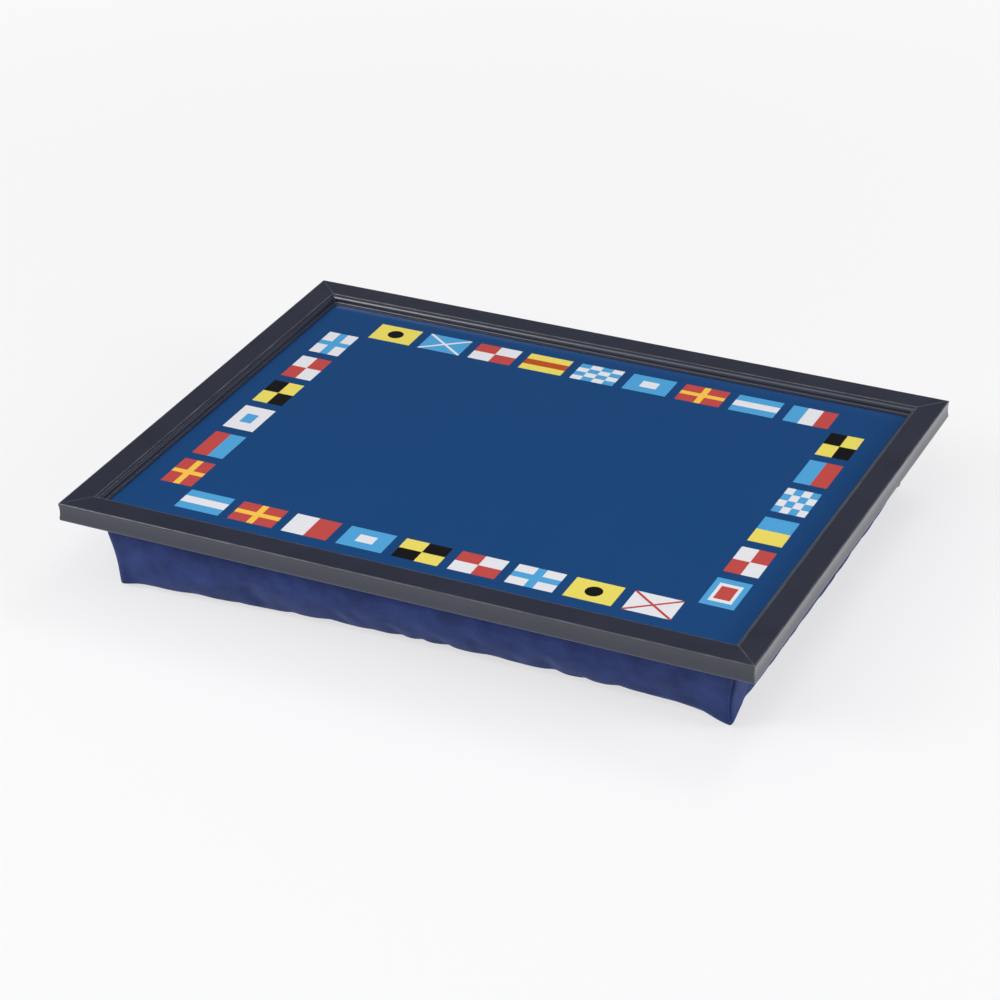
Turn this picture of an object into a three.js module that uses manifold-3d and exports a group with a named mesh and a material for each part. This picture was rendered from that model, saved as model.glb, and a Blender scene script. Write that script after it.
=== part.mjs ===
// Lap tray: a mitred wooden frame round a glossy printed surface, on a cloth cushion filled with beads.
// Sizes are in millimetres. The origin is on the floor under the middle of the tray,
// +X runs along its length, +Y towards its back and +Z up.

import * as THREE from 'three';
import { mergeVertices } from 'three/addons/utils/BufferGeometryUtils.js';
import Module from 'manifold-3d';

const wasm = await Module();
wasm.setup();

// Tray
const TRAY_LENGTH = 440;
const TRAY_WIDTH = 330;
const TRAY_HEIGHT = 60; // floor to the top of the frame
const RECESS_DEPTH = 6; // top of the frame down to the printed surface

// Frame moulding
const RAIL_WIDTH = 20; // outer face to the sight edge
const RAIL_HEIGHT = 12;
const REBATE_WIDTH = 7; // lip of the rail over the boards
const MOULDING_WIDTH = 4; // shaped inner edge, beside the flat top
const QUIRK_DROP = 0.8; // small step down at the edge of the flat top
const QUIRK_WIDTH = 0.3;
const COVE_RADIUS = 1.1;
const SIGHT_LEDGE = 0.6;
const SIGHT_LIP = 0.9; // height of the last lip over the printed surface
const ARRIS = 0.3; // broken sharp edges of the flat top
const FACE_HOLLOW = 0.7; // depth of the hollow in the outer face
const FACE_LIP = 1; // plain strip above the hollow
const FOOT_STRIP = 0.8; // plain strip below the hollow
const FOOT_ROUND = 1.2; // rounded lower outer edge

// Sheets and boards
const LAMINATE_THICKNESS = 0.8;
const TRAY_BOARD_THICKNESS = 2.4;
const CUSHION_BOARD_THICKNESS = 3;
const CLOTH_THICKNESS = 0.8;

// Cushion
const CORNER_TAPER_LENGTH = 12; // how far a bottom corner lies inside the top one, along the tray
const CORNER_TAPER_WIDTH = 8.5; // the same, across the tray
const SIDE_BULGE = 6; // swelling of a side at half its height
const SIDE_DRAW_IN = 10; // how far a bottom seam pulls in between its corners
const SEAM_LIFT_CORNER = 1.2; // bottom seam over the floor, at the corners
const SEAM_LIFT_MIDDLE = 4; // and half way between them
const BASE_ROLL = 22; // strip of the base that rises to its seam
const FILLING_EDGE_ROUND = 7;
const HEM_WIDTH = 16; // cloth turned in over the cushion board

// Fasteners
const PIN_DIAMETER = 1.4;
const PIN_LENGTH = 9; // below its head
const PIN_HEAD_DIAMETER = 3;
const PIN_HEAD_HEIGHT = 0.8;
const PIN_END_DISTANCE = 40; // last pin of a side to the rebate's corner
const PINS_ALONG = 3;
const PINS_ACROSS = 2;
const STAPLE_CROWN = 10;
const STAPLE_WIRE = 0.5;
const STAPLE_LEG = 2.6; // height over all
const STAPLE_INSET = 10; // from the rebate's wall
const STAPLE_END_DISTANCE = 30;
const STAPLES_ALONG = 5;
const STAPLES_ACROSS = 3;
const NAIL_WING = 3.2; // arm of a V-nail, from its bend
const NAIL_THICKNESS = 0.6;
const NAIL_HEIGHT = 7;
const NAIL_ANGLE = THREE.MathUtils.degToRad(55); // between an arm and the mitre
const NAIL_MARGIN = 1.5; // wood left between a nail and the rail's faces

// Clearances
const FIT_GAP = 0.3; // between parts that are cut or laid beside each other
const MITRE_GAP = 0.3;
const SEAM_GAP = 0.3; // between sewn panels
const BOARD_PLAY = 0.5; // boards to the rebate's wall
const FILLING_PLAY = 0.6; // beads to the sides of the cover

// Fineness of the curved surfaces
const CURVE_STEPS = 6;
const ROUND_SIDES = 8;
const CLOTH_STEPS_ALONG = 20;
const CLOTH_STEPS_ACROSS = 14;
const CLOTH_STEPS_DOWN = 7;
const FILLING_ROUND_STEPS = 2;

// Levels over the floor, from the frame down
const RAIL_BOTTOM = TRAY_HEIGHT - RAIL_HEIGHT;
const SURFACE = TRAY_HEIGHT - RECESS_DEPTH;
const LAMINATE_BOTTOM = SURFACE - LAMINATE_THICKNESS;
const TRAY_BOARD_BOTTOM = LAMINATE_BOTTOM - TRAY_BOARD_THICKNESS;
const HEM_BOTTOM = TRAY_BOARD_BOTTOM - CLOTH_THICKNESS;
const CUSHION_BOARD_BOTTOM = HEM_BOTTOM - CUSHION_BOARD_THICKNESS;
const WALL_TOP = Math.min(RAIL_BOTTOM, CUSHION_BOARD_BOTTOM);
const FILLING_TOP = CUSHION_BOARD_BOTTOM - FIT_GAP;
const CROWN_BOTTOM = TRAY_BOARD_BOTTOM - STAPLE_WIRE;
const STAPLE_BOTTOM = TRAY_BOARD_BOTTOM - STAPLE_LEG;

// Distances inwards from a rail's outer face, and from the rebate's wall
const RAIL_FOOT = RAIL_WIDTH - REBATE_WIDTH;
const REBATE_LENGTH = TRAY_LENGTH - 2 * RAIL_FOOT;
const REBATE_BREADTH = TRAY_WIDTH - 2 * RAIL_FOOT;
const OPEN_LENGTH = TRAY_LENGTH - 2 * (RAIL_WIDTH + FIT_GAP);
const OPEN_BREADTH = TRAY_WIDTH - 2 * (RAIL_WIDTH + FIT_GAP);
const CUSHION_BOARD_INSET = FIT_GAP + CLOTH_THICKNESS + FIT_GAP;
const FILLING_INSET = CLOTH_THICKNESS + FILLING_PLAY;
const PIN_INSET = CUSHION_BOARD_INSET + PIN_HEAD_DIAMETER / 2 + FIT_GAP;

// The four sides, each drawn as the front one and turned about the middle of the tray
const SIDES = [
  { name: 'front', corner: 'front_right', turn: 0, alongX: true },
  { name: 'right', corner: 'back_right', turn: Math.PI / 2, alongX: false },
  { name: 'back', corner: 'back_left', turn: Math.PI, alongX: true },
  { name: 'left', corner: 'front_left', turn: -Math.PI / 2, alongX: false },
];

const sideSpan = (side) => (side.alongX ? TRAY_LENGTH : TRAY_WIDTH);
const sideReach = (side) => (side.alongX ? TRAY_WIDTH : TRAY_LENGTH) / 2;

// Closed meshes and solids

function withoutDoubles(geometry) {
  geometry.deleteAttribute('normal');
  geometry.deleteAttribute('uv');
  return mergeVertices(geometry);
}

function toSolid(geometry) {
  const closed = withoutDoubles(geometry.clone());
  const vertProperties = new Float32Array(closed.attributes.position.array);
  const triVerts = new Uint32Array(closed.index.array);
  return new wasm.Manifold(new wasm.Mesh({ numProp: 3, vertProperties, triVerts }));
}

function toGeometry(solid) {
  const mesh = solid.getMesh();
  const geometry = new THREE.BufferGeometry();
  geometry.setAttribute('position', new THREE.BufferAttribute(mesh.vertProperties, 3));
  geometry.setIndex(new THREE.BufferAttribute(mesh.triVerts, 1));
  return geometry;
}

function cutFrom(geometry, tools) {
  let solid = toSolid(geometry);
  for (const tool of tools) {
    solid = solid.subtract(toSolid(tool));
  }
  return toGeometry(solid);
}

// A flat outline carried to a near and a far end, each point placed by a function of its own
function extruded(shape, place) {
  const options = { depth: 1, bevelEnabled: false, curveSegments: CURVE_STEPS };
  const geometry = new THREE.ExtrudeGeometry(shape, options);
  const position = geometry.attributes.position;
  for (let i = 0; i < position.count; i += 1) {
    const isFarEnd = position.getZ(i) > 0.5;
    position.setXYZ(i, ...place(position.getX(i), position.getY(i), isFarEnd));
  }
  return geometry;
}

function block(lowX, highX, lowY, highY, lowZ, highZ) {
  const geometry = new THREE.BoxGeometry();
  const position = geometry.attributes.position;
  for (let i = 0; i < position.count; i += 1) {
    const x = position.getX(i) < 0 ? lowX : highX;
    const y = position.getY(i) < 0 ? lowY : highY;
    const z = position.getZ(i) < 0 ? lowZ : highZ;
    position.setXYZ(i, x, y, z);
  }
  return geometry;
}

function uprightCylinder(x, y, radius, low, high) {
  const geometry = new THREE.CylinderGeometry(radius, radius, high - low, ROUND_SIDES);
  geometry.rotateX(Math.PI / 2);
  geometry.translate(x, y, (low + high) / 2);
  return geometry;
}

// Indices round the edge of a grid of points, in order
function borderOf(rowCount, columnCount) {
  const border = [];
  for (let column = 0; column < columnCount - 1; column += 1) {
    border.push([0, column]);
  }
  for (let row = 0; row < rowCount - 1; row += 1) {
    border.push([row, columnCount - 1]);
  }
  for (let column = columnCount - 1; column > 0; column -= 1) {
    border.push([rowCount - 1, column]);
  }
  for (let row = rowCount - 1; row > 0; row -= 1) {
    border.push([row, 0]);
  }
  return border;
}

// One closed body between two grids of points, with rings of points from border to border
function closedBody(frontGrid, backGrid, rings = []) {
  const rowCount = frontGrid.length;
  const columnCount = frontGrid[0].length;
  const gridSize = rowCount * columnCount;
  const points = [...frontGrid.flat(), ...backGrid.flat(), ...rings.flat()];
  const index = [];
  const quad = (a, b, c, d) => index.push(a, b, c, a, c, d);
  for (let row = 0; row < rowCount - 1; row += 1) {
    for (let column = 0; column < columnCount - 1; column += 1) {
      const a = row * columnCount + column;
      const c = a + columnCount + 1;
      quad(a, a + 1, c, c - 1);
      quad(gridSize + a, gridSize + c - 1, gridSize + c, gridSize + a + 1);
    }
  }
  const border = borderOf(rowCount, columnCount).map(([row, column]) => row * columnCount + column);
  const loops = [border];
  rings.forEach((ring, number) => {
    loops.push(ring.map((point, i) => 2 * gridSize + number * ring.length + i));
  });
  loops.push(border.map((i) => gridSize + i));
  for (let number = 0; number < loops.length - 1; number += 1) {
    const upper = loops[number];
    const lower = loops[number + 1];
    for (let i = 0; i < upper.length; i += 1) {
      const next = (i + 1) % upper.length;
      quad(upper[i], lower[i], lower[next], upper[next]);
    }
  }
  const geometry = new THREE.BufferGeometry();
  geometry.setAttribute('position', new THREE.Float32BufferAttribute(points.flat(), 3));
  geometry.setIndex(index);
  return geometry;
}

// Evenly spread places along a side, the last ones an end distance from the rebate's corners
function placesAlong(side, countAlong, countAcross, endDistance) {
  const count = side.alongX ? countAlong : countAcross;
  const reach = sideSpan(side) / 2 - RAIL_FOOT - endDistance;
  return Array.from({ length: count }, (unused, i) => THREE.MathUtils.lerp(-reach, reach, i / (count - 1)));
}

const pinPlaces = (side) => placesAlong(side, PINS_ALONG, PINS_ACROSS, PIN_END_DISTANCE);
const staplePlaces = (side) => placesAlong(side, STAPLES_ALONG, STAPLES_ACROSS, STAPLE_END_DISTANCE);
const pinLine = (side) => -(sideReach(side) - RAIL_FOOT - PIN_INSET);
const stapleLine = (side) => -(sideReach(side) - RAIL_FOOT - STAPLE_INSET);

// Frame rails

// Section of the moulding: distance inwards from the outer face, and level over the floor
function railSection() {
  const flatEnd = RAIL_WIDTH - MOULDING_WIDTH;
  const coveEnd = RAIL_WIDTH - SIGHT_LEDGE;
  const coveBottom = SURFACE + SIGHT_LIP;
  const beadFoot = coveBottom + COVE_RADIUS;
  const beadTop = TRAY_HEIGHT - QUIRK_DROP;
  const beadStart = flatEnd + QUIRK_WIDTH;
  const beadWidth = coveEnd - COVE_RADIUS - beadStart;
  const hollowTop = TRAY_HEIGHT - FACE_LIP;
  const hollowBottom = RAIL_BOTTOM + FOOT_ROUND + FOOT_STRIP;
  const shape = new THREE.Shape();
  shape.moveTo(FOOT_ROUND, RAIL_BOTTOM);
  shape.lineTo(RAIL_FOOT, RAIL_BOTTOM);
  shape.lineTo(RAIL_FOOT, SURFACE);
  shape.lineTo(RAIL_WIDTH, SURFACE);
  shape.lineTo(RAIL_WIDTH, coveBottom);
  shape.lineTo(coveEnd, coveBottom);
  shape.absarc(coveEnd, beadFoot, COVE_RADIUS, -Math.PI / 2, -Math.PI, true);
  shape.absellipse(beadStart, beadFoot, beadWidth, beadTop - beadFoot, 0, Math.PI / 2, false, 0);
  shape.lineTo(flatEnd, beadTop);
  shape.lineTo(flatEnd, TRAY_HEIGHT - ARRIS);
  shape.lineTo(flatEnd - ARRIS, TRAY_HEIGHT);
  shape.lineTo(ARRIS, TRAY_HEIGHT);
  shape.lineTo(0, TRAY_HEIGHT - ARRIS);
  shape.lineTo(0, hollowTop);
  shape.quadraticCurveTo(2 * FACE_HOLLOW, (hollowTop + hollowBottom) / 2, 0, hollowBottom);
  shape.lineTo(0, RAIL_BOTTOM + FOOT_ROUND);
  shape.absarc(FOOT_ROUND, RAIL_BOTTOM + FOOT_ROUND, FOOT_ROUND, Math.PI, 1.5 * Math.PI, false);
  return shape;
}

function railGeometry(side) {
  const halfSpan = sideSpan(side) / 2 - MITRE_GAP / Math.SQRT2;
  const place = (inwards, level, isFarEnd) => {
    const end = halfSpan - inwards;
    return [isFarEnd ? end : -end, inwards - sideReach(side), level];
  };
  const rail = extruded(railSection(), place);
  const pinTop = CUSHION_BOARD_BOTTOM + PIN_LENGTH + FIT_GAP;
  const holes = pinPlaces(side).map((x) => pinHole(x, pinLine(side), SURFACE - FIT_GAP, pinTop));
  const slots = nailBends().flatMap((bend) => [
    nailGeometry(side, bend, 1, FIT_GAP),
    nailGeometry(side, bend, -1, FIT_GAP),
  ]);
  return cutFrom(rail, [...holes, ...slots]);
}

// V-nails, pressed up into the mitres

// Distance of each nail's bend from the outer corner, along the mitre
function nailBends() {
  const alongMitre = NAIL_WING * Math.cos(NAIL_ANGLE);
  const acrossMitre = NAIL_WING * Math.sin(NAIL_ANGLE);
  const outer = NAIL_MARGIN * Math.SQRT2 + acrossMitre - alongMitre;
  const inner = (RAIL_FOOT - NAIL_MARGIN) * Math.SQRT2 - acrossMitre - alongMitre;
  return [outer, inner];
}

// Plan of a nail with its bend at the origin, opening along +X, grown by a clearance
function nailPlan(clearance) {
  const half = NAIL_THICKNESS / 2 + clearance;
  const arm = new THREE.Vector2(Math.cos(NAIL_ANGLE), Math.sin(NAIL_ANGLE));
  const side = new THREE.Vector2(-arm.y, arm.x).multiplyScalar(half);
  const tip = arm.clone().multiplyScalar(NAIL_WING + clearance);
  const bend = half / Math.sin(NAIL_ANGLE);
  const outerTip = tip.clone().add(side);
  const innerTip = tip.clone().sub(side);
  return new THREE.Shape([
    new THREE.Vector2(-bend, 0),
    new THREE.Vector2(outerTip.x, -outerTip.y),
    new THREE.Vector2(innerTip.x, -innerTip.y),
    new THREE.Vector2(bend, 0),
    innerTip,
    outerTip,
  ]);
}

// The end is 1 at the right end of a side and -1 at its left end
function nailGeometry(side, bend, end, clearance) {
  const cornerX = (end * sideSpan(side)) / 2;
  const cornerY = -sideReach(side);
  const low = RAIL_BOTTOM - clearance;
  const high = RAIL_BOTTOM + NAIL_HEIGHT + clearance;
  const place = (along, across, isFarEnd) => {
    const inX = (along + bend + across) / Math.SQRT2;
    const inY = (along + bend - across) / Math.SQRT2;
    return [cornerX - end * (end > 0 ? inX : inY), cornerY + (end > 0 ? inY : inX), isFarEnd ? high : low];
  };
  return extruded(nailPlan(clearance), place);
}

// Pins, driven up through the boards into the lip of the rails

function pinGeometry(x, y) {
  const shank = PIN_DIAMETER / 2;
  const head = PIN_HEAD_DIAMETER / 2;
  const tip = CUSHION_BOARD_BOTTOM + PIN_LENGTH;
  const outline = [
    new THREE.Vector2(0, CUSHION_BOARD_BOTTOM - PIN_HEAD_HEIGHT),
    new THREE.Vector2(head, CUSHION_BOARD_BOTTOM - PIN_HEAD_HEIGHT),
    new THREE.Vector2(head, CUSHION_BOARD_BOTTOM),
    new THREE.Vector2(shank, CUSHION_BOARD_BOTTOM),
    new THREE.Vector2(shank, tip - PIN_DIAMETER),
    new THREE.Vector2(0, tip),
  ];
  const geometry = new THREE.LatheGeometry(outline, ROUND_SIDES);
  geometry.rotateX(Math.PI / 2);
  geometry.translate(x, y, 0);
  return geometry;
}

function pinHole(x, y, low, high) {
  return uprightCylinder(x, y, PIN_DIAMETER / 2 + FIT_GAP, low, high);
}

function pinHoles(side, low, high) {
  return pinPlaces(side).map((x) => pinHole(x, pinLine(side), low - FIT_GAP, high + FIT_GAP));
}

function pinHeadPocket(x, y) {
  const bottom = CUSHION_BOARD_BOTTOM - PIN_HEAD_HEIGHT - FIT_GAP;
  return uprightCylinder(x, y, PIN_HEAD_DIAMETER / 2 + FIT_GAP, bottom, CUSHION_BOARD_BOTTOM);
}

// Staples, through the hem of the cover into the cushion board

function stapleGeometry(x, y) {
  const outside = STAPLE_CROWN / 2;
  const inside = outside - STAPLE_WIRE;
  const outline = new THREE.Shape([
    new THREE.Vector2(-outside, STAPLE_BOTTOM),
    new THREE.Vector2(-inside, STAPLE_BOTTOM),
    new THREE.Vector2(-inside, CROWN_BOTTOM),
    new THREE.Vector2(inside, CROWN_BOTTOM),
    new THREE.Vector2(inside, STAPLE_BOTTOM),
    new THREE.Vector2(outside, STAPLE_BOTTOM),
    new THREE.Vector2(outside, TRAY_BOARD_BOTTOM),
    new THREE.Vector2(-outside, TRAY_BOARD_BOTTOM),
  ]);
  const place = (along, level, isFarEnd) => {
    const half = STAPLE_WIRE / 2;
    return [x + along, y + (isFarEnd ? -half : half), level];
  };
  return extruded(outline, place);
}

function stapleLegHoles(x, y) {
  const reach = STAPLE_WIRE / 2 + FIT_GAP;
  const middle = (STAPLE_CROWN - STAPLE_WIRE) / 2;
  const low = STAPLE_BOTTOM - FIT_GAP;
  return [-middle, middle].map((leg) => (
    block(x + leg - reach, x + leg + reach, y - reach, y + reach, low, CROWN_BOTTOM + FIT_GAP)
  ));
}

function stapleCrownPocket(x, y) {
  const halfCrown = STAPLE_CROWN / 2 + FIT_GAP;
  const reach = STAPLE_WIRE / 2 + FIT_GAP;
  const top = TRAY_BOARD_BOTTOM + FIT_GAP;
  return block(x - halfCrown, x + halfCrown, y - reach, y + reach, CROWN_BOTTOM, top);
}

// Boards

// A board that fills the rebate, less its inset from the rebate's wall. Its faces are split along
// the sight edges, so that the open field between the rails is a face of its own.
function boardGeometry(inset, low, high) {
  const halfLength = REBATE_LENGTH / 2 - inset;
  const halfBreadth = REBATE_BREADTH / 2 - inset;
  const geometry = new THREE.BoxGeometry(3, 3, 1, 3, 3, 1);
  const position = geometry.attributes.position;
  for (let i = 0; i < position.count; i += 1) {
    const [column, row] = [position.getX(i), position.getY(i)];
    const x = Math.abs(column) > 1 ? halfLength : OPEN_LENGTH / 2;
    const y = Math.abs(row) > 1 ? halfBreadth : OPEN_BREADTH / 2;
    position.setXYZ(i, Math.sign(column) * x, Math.sign(row) * y, position.getZ(i) < 0 ? low : high);
  }
  return geometry;
}

function turned(geometries, side) {
  return geometries.map((geometry) => geometry.rotateZ(side.turn));
}

function pinnedBoard(inset, low, high) {
  const holes = SIDES.flatMap((side) => turned(pinHoles(side, low, high), side));
  return cutFrom(boardGeometry(inset, low, high), holes);
}

function cushionBoardGeometry() {
  const board = pinnedBoard(CUSHION_BOARD_INSET, CUSHION_BOARD_BOTTOM, HEM_BOTTOM);
  const holes = SIDES.flatMap((side) => {
    const legs = staplePlaces(side).flatMap((x) => stapleLegHoles(x, stapleLine(side)));
    return turned(legs, side);
  });
  return cutFrom(board, holes);
}

// Cushion

// Places from -1 to 1, closer together towards both ends
function spread(count) {
  return Array.from({ length: count + 1 }, (unused, i) => Math.sin(Math.PI * (i / count - 0.5)));
}

// Half sizes of the cover at a depth that runs from 0 at its top to 1 at the bottom seam.
// Its ends come in soon below the frame, and its long sides at a steady slope.
const halfLengthAt = (depth) => REBATE_LENGTH / 2 - FIT_GAP - CORNER_TAPER_LENGTH * depth * (2 - depth);
const halfWidthAt = (depth) => REBATE_BREADTH / 2 - FIT_GAP - CORNER_TAPER_WIDTH * depth;

// How far the middle of a side stands out at that depth
const bowAt = (depth) => SIDE_BULGE * Math.sin(Math.PI * depth) - SIDE_DRAW_IN * depth * depth;

const bowShare = (along) => 1 - along * along;

// A point of the cushion's plan: u and v run from -1 to 1 along and across the tray
function planPoint(u, v, depth, inset) {
  const bow = bowAt(depth);
  const x = u * (halfLengthAt(depth) - inset + bow * bowShare(v));
  const y = v * (halfWidthAt(depth) - inset + bow * bowShare(u));
  return [x, y];
}

function seamLift(along) {
  return THREE.MathUtils.lerp(SEAM_LIFT_CORNER, SEAM_LIFT_MIDDLE, bowShare(along));
}

// Level of the underside of the base panel, flat on the floor except near its seam
function baseLevel(u, v) {
  const rise = (place, half) => Math.max(0, 1 - ((1 - Math.abs(place)) * half) / BASE_ROLL) ** 2;
  const riseAlong = rise(u, halfLengthAt(1));
  const riseAcross = rise(v, halfWidthAt(1));
  return seamLift(u) * riseAcross + seamLift(v) * riseAlong - SEAM_LIFT_CORNER * riseAlong * riseAcross;
}

function gridOf(placePoint) {
  const across = spread(CLOTH_STEPS_ACROSS);
  const along = spread(CLOTH_STEPS_ALONG);
  return across.map((v) => along.map((u) => placePoint(u, v)));
}

function coverBaseGeometry() {
  const under = gridOf((u, v) => [...planPoint(u, v, 1, 0), baseLevel(u, v)]);
  const upper = gridOf((u, v) => [...planPoint(u, v, 1, 0), baseLevel(u, v) + CLOTH_THICKNESS]);
  return closedBody(upper, under);
}

// One face of a side panel: the hem on the cushion board, the turn over its edge and the wall below
function panelFace(side, inset, hemLevel) {
  const lengthAt = side.alongX ? halfLengthAt : halfWidthAt;
  const reachAt = side.alongX ? halfWidthAt : halfLengthAt;
  const trim = SEAM_GAP / Math.SQRT2;
  const places = spread(side.alongX ? CLOTH_STEPS_ALONG : CLOTH_STEPS_ACROSS);
  const flatRow = (rowInset, level) => places.map((u) => (
    [u * (lengthAt(0) - rowInset - trim), rowInset - reachAt(0), level]
  ));
  const wallRow = (depth) => places.map((u) => {
    const bottom = seamLift(u) + CLOTH_THICKNESS + SEAM_GAP;
    const x = u * (lengthAt(depth) - inset - trim);
    const y = inset - reachAt(depth) - bowAt(depth) * bowShare(u);
    return [x, y, THREE.MathUtils.lerp(WALL_TOP, bottom, depth)];
  });
  const rows = [flatRow(HEM_WIDTH, hemLevel), flatRow(inset, hemLevel)];
  for (let step = 0; step <= CLOTH_STEPS_DOWN; step += 1) {
    rows.push(wallRow(step / CLOTH_STEPS_DOWN));
  }
  return rows;
}

function coverPanelGeometry(side) {
  const outside = panelFace(side, 0, TRAY_BOARD_BOTTOM);
  const inside = panelFace(side, CLOTH_THICKNESS, HEM_BOTTOM);
  const staples = staplePlaces(side).flatMap((x) => [
    stapleCrownPocket(x, stapleLine(side)),
    ...stapleLegHoles(x, stapleLine(side)),
  ]);
  const pins = pinHoles(side, HEM_BOTTOM, TRAY_BOARD_BOTTOM);
  return cutFrom(closedBody(inside, outside), [...pins, ...staples]);
}

// The beads lie just inside the cover, rounded under the edge of the cushion board
function fillingGeometry() {
  const across = spread(CLOTH_STEPS_ACROSS);
  const along = spread(CLOTH_STEPS_ALONG);
  const border = borderOf(across.length, along.length).map(([row, column]) => [along[column], across[row]]);
  const bottomAt = (u, v) => baseLevel(u, v) + CLOTH_THICKNESS + FIT_GAP;
  const pointAt = (u, v, inset, level) => {
    const depth = THREE.MathUtils.clamp((WALL_TOP - level) / (WALL_TOP - bottomAt(u, v)), 0, 1);
    return [...planPoint(u, v, depth, inset), level];
  };
  const rings = [];
  for (let step = 1; step <= FILLING_ROUND_STEPS; step += 1) {
    const angle = (Math.PI / 2) * (step / FILLING_ROUND_STEPS);
    const inset = FILLING_INSET + FILLING_EDGE_ROUND * (1 - Math.sin(angle));
    const level = FILLING_TOP - FILLING_EDGE_ROUND * (1 - Math.cos(angle));
    rings.push(border.map(([u, v]) => pointAt(u, v, inset, level)));
  }
  for (let step = 1; step < CLOTH_STEPS_DOWN; step += 1) {
    const share = step / CLOTH_STEPS_DOWN;
    const roundEnd = FILLING_TOP - FILLING_EDGE_ROUND;
    rings.push(border.map(([u, v]) => (
      pointAt(u, v, FILLING_INSET, THREE.MathUtils.lerp(roundEnd, bottomAt(u, v), share))
    )));
  }
  const top = gridOf((u, v) => [...planPoint(u, v, 0, FILLING_INSET + FILLING_EDGE_ROUND), FILLING_TOP]);
  const bottom = gridOf((u, v) => [...planPoint(u, v, 1, FILLING_INSET), bottomAt(u, v)]);
  const pockets = SIDES.flatMap((side) => (
    turned(pinPlaces(side).map((x) => pinHeadPocket(x, pinLine(side))), side)
  ));
  return cutFrom(closedBody(top, bottom, rings), pockets);
}

// Finishes, a new material for each piece

const FINISHES = {
  paintedWood: { color: 0x30363f, roughness: 0.42, metalness: 0 },
  glossPrint: { color: 0x16426f, roughness: 0.12, metalness: 0 },
  fibreboard: { color: 0x9c7a55, roughness: 0.85, metalness: 0 },
  navyCloth: { color: 0x2c3665, roughness: 0.95, metalness: 0 },
  beads: { color: 0xf2f2ee, roughness: 0.8, metalness: 0 },
  steel: { color: 0xb4b6ba, roughness: 0.35, metalness: 1 },
};

function piece(name, geometry, finish) {
  geometry.computeVertexNormals();
  const mesh = new THREE.Mesh(geometry, new THREE.MeshStandardMaterial(FINISHES[finish]));
  mesh.name = name;
  return mesh;
}

// Assembly

function sideGroup(side) {
  const group = new THREE.Group();
  group.rotation.z = side.turn;
  group.add(piece(`rail_${side.name}`, railGeometry(side), 'paintedWood'));
  group.add(piece(`cover_${side.name}`, coverPanelGeometry(side), 'navyCloth'));
  ['outer', 'inner'].forEach((place, i) => {
    const nail = nailGeometry(side, nailBends()[i], 1, 0);
    group.add(piece(`v_nail_${side.corner}_${place}`, nail, 'steel'));
  });
  pinPlaces(side).forEach((x, i) => {
    group.add(piece(`panel_pin_${side.name}_${i + 1}`, pinGeometry(x, pinLine(side)), 'steel'));
  });
  staplePlaces(side).forEach((x, i) => {
    group.add(piece(`staple_${side.name}_${i + 1}`, stapleGeometry(x, stapleLine(side)), 'steel'));
  });
  return group;
}

const lapTray = new THREE.Group();
for (const side of SIDES) {
  lapTray.add(sideGroup(side));
}
const laminate = pinnedBoard(BOARD_PLAY, LAMINATE_BOTTOM, SURFACE);
const trayBoard = pinnedBoard(BOARD_PLAY, TRAY_BOARD_BOTTOM, LAMINATE_BOTTOM);
lapTray.add(piece('printed_laminate', laminate, 'glossPrint'));
lapTray.add(piece('tray_board', trayBoard, 'fibreboard'));
lapTray.add(piece('cushion_board', cushionBoardGeometry(), 'fibreboard'));
lapTray.add(piece('cover_base', coverBaseGeometry(), 'navyCloth'));
lapTray.add(piece('bead_filling', fillingGeometry(), 'beads'));

export default lapTray;
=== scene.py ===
"""Lap tray in its finishes: painted frame, printed sheet and bead cushion, round the CAD model."""

import math
from contextlib import contextmanager

import bmesh
import bpy
import numpy as np
from bpy.props import FloatProperty, FloatVectorProperty, IntProperty, PointerProperty
from bpy.types import Operator, Panel, PropertyGroup
from mathutils import Matrix, Vector


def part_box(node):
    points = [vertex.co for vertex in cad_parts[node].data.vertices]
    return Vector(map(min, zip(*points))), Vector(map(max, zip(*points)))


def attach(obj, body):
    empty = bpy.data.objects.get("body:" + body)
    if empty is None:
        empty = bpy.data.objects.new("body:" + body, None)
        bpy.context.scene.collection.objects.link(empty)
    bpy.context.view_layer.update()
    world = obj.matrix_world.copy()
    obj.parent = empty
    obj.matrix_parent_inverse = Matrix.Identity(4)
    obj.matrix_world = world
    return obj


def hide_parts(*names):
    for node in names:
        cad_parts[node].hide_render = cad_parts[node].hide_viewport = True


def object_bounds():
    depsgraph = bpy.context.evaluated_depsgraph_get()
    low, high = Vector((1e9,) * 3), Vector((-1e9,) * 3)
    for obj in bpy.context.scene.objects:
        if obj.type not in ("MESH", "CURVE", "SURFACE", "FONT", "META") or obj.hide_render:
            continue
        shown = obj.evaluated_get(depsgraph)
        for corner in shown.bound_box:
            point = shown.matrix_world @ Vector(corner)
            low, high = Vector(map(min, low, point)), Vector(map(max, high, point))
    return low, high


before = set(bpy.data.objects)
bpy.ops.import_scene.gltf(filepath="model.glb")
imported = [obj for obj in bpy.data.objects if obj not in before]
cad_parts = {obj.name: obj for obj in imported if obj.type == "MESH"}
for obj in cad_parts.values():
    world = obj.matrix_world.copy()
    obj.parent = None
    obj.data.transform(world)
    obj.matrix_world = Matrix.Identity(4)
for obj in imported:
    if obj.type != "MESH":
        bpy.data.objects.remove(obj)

bl_info = {
    "name": "Lap Tray",
    "version": (1, 0, 0),
    "blender": (4, 5, 0),
    "location": "3D View > Sidebar > Lap Tray",
    "description": "Builds a lap tray with a printed surface and a bead cushion round its CAD model",
    "category": "Object",
}

MM = 0.001
BODY = "root"
SIDES = ("front", "right", "back", "left")
COVER_NODES = [f"cover_{side}" for side in SIDES] + ["cover_base", "bead_filling"]

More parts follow.
